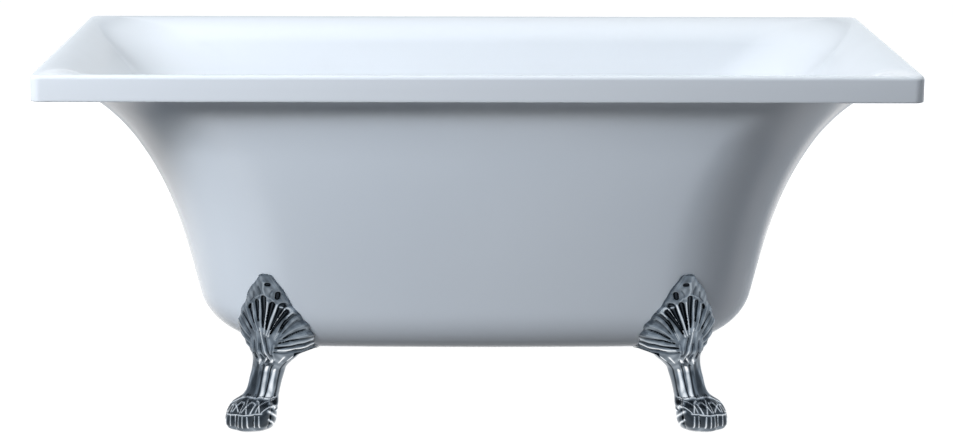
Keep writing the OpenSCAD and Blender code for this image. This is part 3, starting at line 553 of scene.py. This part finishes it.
# Crest: eyelets, a lit edge, and soft folds, with painted shade in the eyelets and folds and a painted
# highlight on the edge
for pts, w, dark in (([(-21, 254), (-17, 254)], 2.6, 0.0), ([(-34, 238), (-33, 231)], 3.0, 0.0),
                     ([(13, 216), (16, 212)], 2.4, 0.05)):
    stroke([pts[0], pts[1]], w, w, -4.5, dark, power=4, mask=leafy)
stroke([(-26, 244), (-22, 236), (-24, 228)], 1.2, 1.2, -1.2, 0.3, mask=leafy)
stroke([(-2, 250), (-6, 240), (-4, 232)], 1.4, 1.2, -1.5, 0.3, mask=leafy)
stroke([(6, 240), (6, 232), (12, 224)], 1.2, 1.2, -1.5, 0.26, mask=leafy)
stroke([(-13, 258), (-12, 246), (-14, 238)], 2.6, 1.6, 1.4, 0.66, mask=leafy)
stroke([(-28, 226), (-20, 232), (-10, 236), (2, 230)], 1.8, 1.4, 0.8, 0.6, mask=leafy)
# Inner wing: a curled lobe, a dark fold beside the fan, and shell grooves that spread from the throat;
# painted highlights on the lobe and ridges, painted shade in the fold and grooves
stroke([(-38, 214), (-46, 213), (-51, 206), (-48, 199)], 2.2, 1.6, 2.6, 0.8, mask=leafy)
stroke([(-35, 158), (-40, 172), (-47, 188), (-54, 200)], 1.6, 2.2, -3.5, 0.12, mask=leafy)
stroke([(-38, 168), (-35, 158)], 3.2, 2.2, 1.0, 0.72, mask=leafy)
for pts, w, deep, dark in (
        ([(-44, 168), (-52, 180), (-60, 189)], 1.8, 2.0, 0.26),
        ([(-46, 160), (-56, 167), (-66, 172)], 2.0, 3.0, 0.14),
        ([(-40, 152), (-52, 155), (-70, 157)], 2.0, 3.2, 0.12),
        ([(-36, 144), (-52, 144), (-67, 147)], 1.9, 3.2, 0.08),
        ([(-34, 137), (-46, 134), (-58, 137)], 2.0, 2.6, 0.14)):
    stroke(pts, 0.9, w, -deep, dark, mask=leafy)
stroke([(-46, 190), (-42, 178)], 3.4, 1.6, -2.5, 0.1, mask=leafy)
for pts, lit in (([(-42, 160), (-54, 174), (-66, 183)], 0.6), ([(-44, 154), (-56, 161), (-70, 165)], 0.62),
                 ([(-40, 148), (-54, 149), (-70, 152)], 0.7), ([(-40, 140), (-52, 139), (-66, 142)], 1.0)):
    stroke(pts, 1.2, 2.0, 1.3, lit, mask=leafy)
# Outer wing, shallower, with painted shade in its grooves and painted highlights on its ridges
for pts, w, deep, dark in (
        ([(8, 166), (21, 180), (34, 192)], 1.5, 2.6, 0.24),
        ([(10, 156), (25, 166), (41, 176)], 1.7, 2.6, 0.24),
        ([(10, 147), (25, 152), (42, 158)], 1.7, 2.4, 0.26),
        ([(8, 138), (21, 139), (36, 143)], 1.6, 2.2, 0.24)):
    stroke(pts, 0.8, w, -deep, dark, mask=leafy)
for pts, lit in (([(9, 161), (24, 173), (39, 185)], 0.6), ([(10, 151), (26, 159), (43, 167)], 0.6),
                 ([(9, 143), (24, 146), (40, 150)], 0.68)):
    stroke(pts, 1.0, 1.6, 1.2, lit, mask=leafy)
# Strands that run down from the throat over the shank, as painted highlights with painted shade in the
# grooves between them
for pts, w, lit in (
        ([(-9, 178), (-16, 155), (-23, 137), (-27, 117)], 1.0, 0.92),
        ([(-26, 160), (-30, 140), (-28, 118)], 0.9, 0.66),
        ([(-4, 172), (-8, 150), (-12, 128), (-8, 110)], 0.9, 0.66),
        ([(6, 160), (2, 140), (4, 118)], 0.9, 0.6),
        ([(-34, 150), (-34, 136), (-33, 122)], 1.0, 0.6)):
    stroke(pts, w, w, 1.3, lit, mask=front_on)
for pts, w, dark in (([(-19, 162), (-24, 146), (-30, 128)], 1.3, 0.12),
                     ([(-12, 152), (-17, 136), (-20, 124)], 1.3, 0.16),
                     ([(0, 156), (-3, 138), (0, 120)], 1.2, 0.22)):
    stroke(pts, 0.8, w, -1.8, dark, mask=front_on)
# Shank: dark stripes and bright panels of painted reflection, with small painted glints above them
low_on = step(52, 58, Z) * step(128, 120, Z)
for pts, w0, w1, rise, to in (
        ([(4, 112), (3, 86), (0, 54)], 3.0, 8.5, -1.2, 0.2),
        ([(18, 112), (18, 86), (17, 54)], 1.6, 2.0, 0.6, 0.6),
        ([(29, 110), (30, 86), (31, 56)], 3.0, 3.6, -1.0, 0.26),
        ([(-38, 114), (-41, 86), (-46, 58)], 1.6, 2.2, -1.4, 0.06),
        ([(-28, 101), (-30, 78), (-33, 57)], 2.4, 5.8, -0.4, 1.0),
        ([(-13, 108), (-16, 82), (-20, 60)], 2.6, 3.4, -0.4, 1.0),
        ([(-20, 110), (-23, 84), (-26, 56)], 0.9, 0.9, -1.6, 0.03),
        ([(-7, 110), (-10, 84), (-14, 58)], 1.3, 1.5, -1.4, 0.06)):
    stroke(pts, w0, w1, rise, to, where=arc, power=4, mask=low_on)
for a, z, w, half_l in ((-27, 121, 1.4, 5), (-16, 119, 2.0, 3), (-8, 121, 1.6, 4), (1, 116, 2.4, 4),
                        (-38, 122, 1.4, 3)):
    stroke([(a, z + half_l), (a + 1, z - half_l)], w, w * 0.7, 0.6, 1.0, where=arc)
# Paw: a band, scrolls above it, toe lines below it and bars over the heel, as painted highlights on a ground
# of painted shade
bright = [([(-38, 35), (-10, 33), (12, 31), (38, 29)], 1.1)]
bright += [([(w + 2, 31), (w, 22), (w - 1, 13)], 0.85) for w in (-38, -31, -24, -17, -9, 0, 9, 19, 29)]
bright += [([(-37, 37), (-40, 45), (-33, 52), (-27, 46), (-28, 37)], 0.9),
           ([(-24, 36), (-22, 47), (-14, 51), (-9, 37)], 1.0), ([(-6, 36), (-2, 48), (6, 49), (10, 36)], 1.0),
           ([(13, 35), (16, 44), (23, 43), (26, 34)], 1.0), ([(-34, 37), (-28, 45), (-18, 53)], 0.8),
           ([(-19, 36), (-13, 44), (-3, 53)], 0.8), ([(0, 36), (6, 42), (14, 46)], 0.8),
           ([(-36, 52), (-18, 57), (2, 57), (20, 50), (36, 40)], 1.2)]
for pts, w in bright:
    stroke(pts, w, w, 1.1, 0.98, mask=front_on * not_shank)
for pts, w in (([(-60, 31), (-50, 38), (-37, 49)], 2.6), ([(-60, 21), (-50, 28), (-37, 38)], 1.9),
               ([(-54, 10), (-40, 24)], 1.6)):
    stroke(pts, w, w, 1.0, 1.0, where=arc, mask=not_shank)
stroke([(50, 37), (66, 38), (84, 38)], 1.3, 1.0, -1.6, 0.08, where=np.abs(arc), mask=not_shank)

edge = np.abs(np.sin(np.radians(F)))
d += 1.5 * step(0.88, 0.96, edge) * leafy
d *= np.where(Z > 62, face, 1)
d *= step(1.9, 5, Z)
painted_light_tone = np.clip(painted_light_tone, 0, 1)
solid = base + nrm * d[..., None]
solid[..., 2] = np.maximum(solid[..., 2], SOLE)

# Scalloped outline of the leaf, round its throat
rho = np.hypot(W + 14, Z - 150)
th = np.arctan2(W + 14, Z - 150)
solid[..., 1] += 1.5 * np.cos(th * 18) * step(24, 44, rho) * step(0.6, 1, edge) * leafy * np.sign(W + 12)
back = skin_reach(solid[..., 1], np.clip(solid[..., 2], float(base_z), neck_z - 1)).reshape(Z.shape)
back += clear_of_skin((Z - base_z) / LEAF_H)
solid[..., 0] = np.where(Z > base_z, np.maximum(solid[..., 0], back), solid[..., 0])


FOOT_U = 108                                        # the levelling foot's axis, out from the leg's root
PAD_R, PAD_TOP = 15.8, 4.8                          # the pad's seat in the paw's underside
STUD_R, STUD_TOP = 5.05, 41.5                       # the stud's hole above it


def leg_mesh(solid):
    """Places and faces of one leg: its rings, its rounded tip, and its underside with the pad's seat."""
    m, n = solid.shape[:2]
    top = solid[-1]
    mid_top = top.mean(0)
    tip = [mid_top + (top - mid_top) * k + [0, 0, up] for k, up in ((0.85, 1.2), (0.55, 2.2), (0.25, 2.7))]
    seat = [np.stack([FOOT_U + r * np.cos(fr), -r * np.sin(fr), np.full(n, z)], 1)
            for r, z in ((PAD_R, SOLE), (PAD_R, PAD_TOP), (STUD_R, PAD_TOP), (STUD_R, STUD_TOP))]
    g = np.concatenate([seat[::-1], solid, tip])
    faces = hoops(g, False)
    k = len(g) * n
    places = np.concatenate([g.reshape(-1, 3), [[FOOT_U, 0, STUD_TOP]], [mid_top + [0, 0, 2.9]]])
    faces += [(k, j, (j + 1) % n) for j in range(n)]
    last = (len(g) - 1) * n
    faces += [(last + j, k + 1, last + (j + 1) % n) for j in range(n)]
    return places, faces


def lug():
    """The flat lug behind the leg, under the body."""
    x0, x1, y0, y1, z0, z1 = -58, 40, -32, 32, base_z - 8, base_z
    e = 1.0                                         # its broken edges
    loop = lambda k: [(x0 + k, y0 + k), (x1 - k, y0 + k), (x1 - k, y1 - k), (x0 + k, y1 - k)]
    rows = [(e, z0), (0, z0 + e), (0, z1 - e), (e, z1)]
    p = [(x, y, z) for k, z in rows for x, y in loop(k)]
    faces = [(3, 2, 1, 0), (12, 13, 14, 15)]
    for i in range(3):
        faces += [(i * 4 + j, i * 4 + (j + 1) % 4, i * 4 + 4 + (j + 1) % 4, i * 4 + 4 + j) for j in range(4)]
    return np.array(p, float), faces


def joined(parts):
    """Several forms as one list of places and faces."""
    places, faces, k = [], [], 0
    for p, q in parts:
        places.append(p)
        faces += [tuple(v + k for v in face) for face in q]
        k += len(p)
    return np.concatenate(places), faces


leg_places, leg_faces = joined([leg_mesh(solid), lug()])
# Colours of the painted light, from painted shade at 0 to a painted highlight at 1
PAINTED_LIGHT_TONES = np.array([[0, 0.02, 0.024, 0.03], [0.25, 0.065, 0.077, 0.09], [0.5, 0.172, 0.2, 0.23],
                  [0.75, 0.43, 0.475, 0.52], [1, 1.0, 1.0, 1.0]])
paint = np.full((len(leg_places), 4), 1.0)
spread = np.full(len(leg_places), 0.45)             # the tone of what carries no ornament
spread[4 * NJ:4 * NJ + painted_light_tone.size] = painted_light_tone.ravel()
for k in range(3):
    paint[:, k] = np.interp(spread, PAINTED_LIGHT_TONES[:, 0], PAINTED_LIGHT_TONES[:, k + 1])
xy = ROOT + leg_places[:, :1] * OUT + leg_places[:, 1:2] * SIDE
for name, sx, sy in (("front_left", -1, -1), ("front_right", 1, -1), ("back_left", -1, 1),
                     ("back_right", 1, 1)):
    world = np.concatenate([xy * [sx, sy], leg_places[:, 2:]], 1)
    turned = leg_faces if sx * sy < 0 else [q[::-1] for q in leg_faces]
    leg = piece("claw_leg_" + name, world, turned, chrome, sharp=60)
    layer = leg.data.color_attributes.new("painted_light_tone", "FLOAT_COLOR", "POINT")
    layer.data.foreach_set("color", paint.ravel())
    b = bmesh.new()
    b.from_mesh(leg.data)
    bmesh.ops.recalc_face_normals(b, faces=b.faces)
    b.to_mesh(leg.data)
    b.free()
    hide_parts("leg_" + name)

# Materials of the frame's own nodes
FINISH = {
    "rim_batten_front": board_wood, "rim_batten_back": board_wood, "rim_batten_left": end_wood,
    "rim_batten_right": end_wood, "base_board": board_wood, "cross_bearer_left": end_wood,
    "cross_bearer_right": end_wood, "leg_bolts": zinc, "leg_washers": zinc, "board_inserts": brass,
    "waste_flange": trim, "waste_seal_top": seal_rubber, "waste_seal_under": seal_rubber,
    "waste_backnut": white_pipe, "waste_tee": white_pipe, "plug_cap": trim, "plug_seal": seal_rubber,
    "plug_stem": trim, "plug_cartridge": dark_plastic, "plug_spring": zinc, "overflow_cover": trim,
    "overflow_screw": trim, "overflow_gasket": seal_rubber, "overflow_elbow": white_pipe,
    "overflow_pipe": white_pipe, "pipe_bend": white_pipe, "overflow_pipe_low": white_pipe,
    "pipe_ring_top": white_pipe, "pipe_ring_low": white_pipe,
}
for name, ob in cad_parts.items():
    finish = FINISH.get(name)
    if name.startswith("level_stud"):
        finish = zinc
    elif name.startswith("glide"):
        finish = pad_rubber
    if finish:
        for s in ob.material_slots:
            s.material = finish


# Studio
def stage_plane(name, corners, mat):
    """A flat stage, which isn't part of the object."""
    me = bpy.data.meshes.new(name)
    me.from_pydata(corners, [], [tuple(range(len(corners)))])
    ob = bpy.data.objects.new(name, me)
    scene.collection.objects.link(ob)
    me.materials.append(mat)


def choose(t, ray, other, on):
    """A shader that is one thing for a kind of ray, and another for the rest."""
    rays = t.nodes.new("ShaderNodeLightPath")
    pick = t.nodes.new("ShaderNodeMixShader")
    t.links.new(rays.outputs[ray], pick.inputs["Fac"])
    t.links.new(other, pick.inputs[1])
    t.links.new(on, pick.inputs[2])
    return pick.outputs[0]


# The floor: white to the camera, dull as a reflector of light, and pale in gloss
floor_mat = bpy.data.materials.new("floor")
floor_mat.use_nodes = True
t = floor_mat.node_tree
b = t.nodes["Principled BSDF"]
b.inputs["Roughness"].default_value = 0.9
b.inputs["Specular IOR Level"].default_value = 0.1
ramp(t, noise(t, 1.2), [(0.3, (0.13, 0.132, 0.135)), (0.7, (0.16, 0.162, 0.165))], b.inputs["Base Color"])
b.inputs["Emission Color"].default_value = (1, 1, 1, 1)
b.inputs["Emission Strength"].default_value = 0.99
dull = t.nodes.new("ShaderNodeBsdfDiffuse")
dull.inputs["Color"].default_value = (0.10, 0.108, 0.12, 1)
sheet = t.nodes.new("ShaderNodeEmission")
sheet.inputs["Strength"].default_value = 1.25
ramp(t, noise(t, 0.9, 2), [(0.42, (0.60, 0.63, 0.66)), (0.56, (1.0, 1.0, 1.0))], sheet.inputs["Color"])
lit = choose(t, "Is Glossy Ray", dull.outputs[0], sheet.outputs[0])
t.links.new(choose(t, "Is Camera Ray", lit, b.outputs[0]), t.nodes["Material Output"].inputs["Surface"])
stage_plane("floor", [(-14, -8, 0), (14, -8, 0), (14, 14, 0), (-14, 14, 0)], floor_mat)


def area(name, place, aim, size, power, colour):
    """A soft light that aims at a point and doesn't show in gloss."""
    lamp = bpy.data.lights.new(name, "AREA")
    lamp.shape = "RECTANGLE"
    lamp.size, lamp.size_y = size
    lamp.energy = power
    lamp.color = colour
    o = bpy.data.objects.new(name, lamp)
    o.location = place
    o.rotation_euler = (Vector(aim) - Vector(place)).to_track_quat("-Z", "Y").to_euler()
    o.visible_glossy = False
    scene.collection.objects.link(o)


area("top", (1.4, 0.4, 3.2), (0.2, 0, 0.5), (2.4, 2.0), 43, (0.95, 0.985, 1.0))
area("key_high", (-2.2, -2.5, 3.1), (-0.2, 0, 0.5), (1.1, 1.0), 92, (0.78, 0.87, 1.0))
area("key_low", (-2.45, -2.25, 2.25), (-0.2, 0, 0.5), (1.1, 0.8), 52, (0.96, 0.98, 1.0))
area("side", (-3.2, -1.2, 1.2), (-0.3, 0, 0.45), (1.0, 0.8), 9, (0.95, 0.98, 1.0))
area("edge", (2.9, -0.3, 0.5), (0.5, 0, 0.35), (1.0, 0.8), 8.4, (0.78, 0.86, 1.0))
area("rear", (0.0, 3.6, 0.32), (0, 0, 0.32), (3.4, 0.6), 58, (0.88, 0.95, 1.0))

# The world: white to the camera, soft and dim as light, and in gloss a bright and dark studio
world = bpy.data.worlds.new("studio")
scene.world = world
world.use_nodes = True
wt = world.node_tree
soft = wt.nodes["Background"]
soft.inputs["Color"].default_value = (0.76, 0.85, 0.94, 1)
soft.inputs["Strength"].default_value = 0.04
shine = wt.nodes.new("ShaderNodeBackground")
shine.inputs["Strength"].default_value = 1.2
way = wt.nodes.new("ShaderNodeTexCoord")
split = wt.nodes.new("ShaderNodeSeparateXYZ")
wt.links.new(way.outputs["Generated"], split.inputs[0])
height_band = wt.nodes.new("ShaderNodeMapRange")
for k, v in zip(("From Min", "From Max"), (-1, 1)):
    height_band.inputs[k].default_value = v
wt.links.new(split.outputs["Z"], height_band.inputs["Value"])
ramp(wt, height_band.outputs["Result"],
     [(0.0, (0.50, 0.54, 0.58)), (0.49, (0.55, 0.60, 0.64)), (0.53, (0.86, 0.90, 0.95)),
      (0.60, (0.66, 0.71, 0.76)), (0.68, (0.36, 0.40, 0.44)), (0.76, (0.66, 0.71, 0.76)),
      (1.0, (0.84, 0.88, 0.92))], shine.inputs["Color"])
white = wt.nodes.new("ShaderNodeBackground")
white.inputs["Color"].default_value = (1, 1, 1, 1)
white.inputs["Strength"].default_value = 0.99
lit = choose(wt, "Is Glossy Ray", soft.outputs[0], shine.outputs[0])
wt.links.new(choose(wt, "Is Camera Ray", lit, white.outputs[0]), wt.nodes["World Output"].inputs["Surface"])
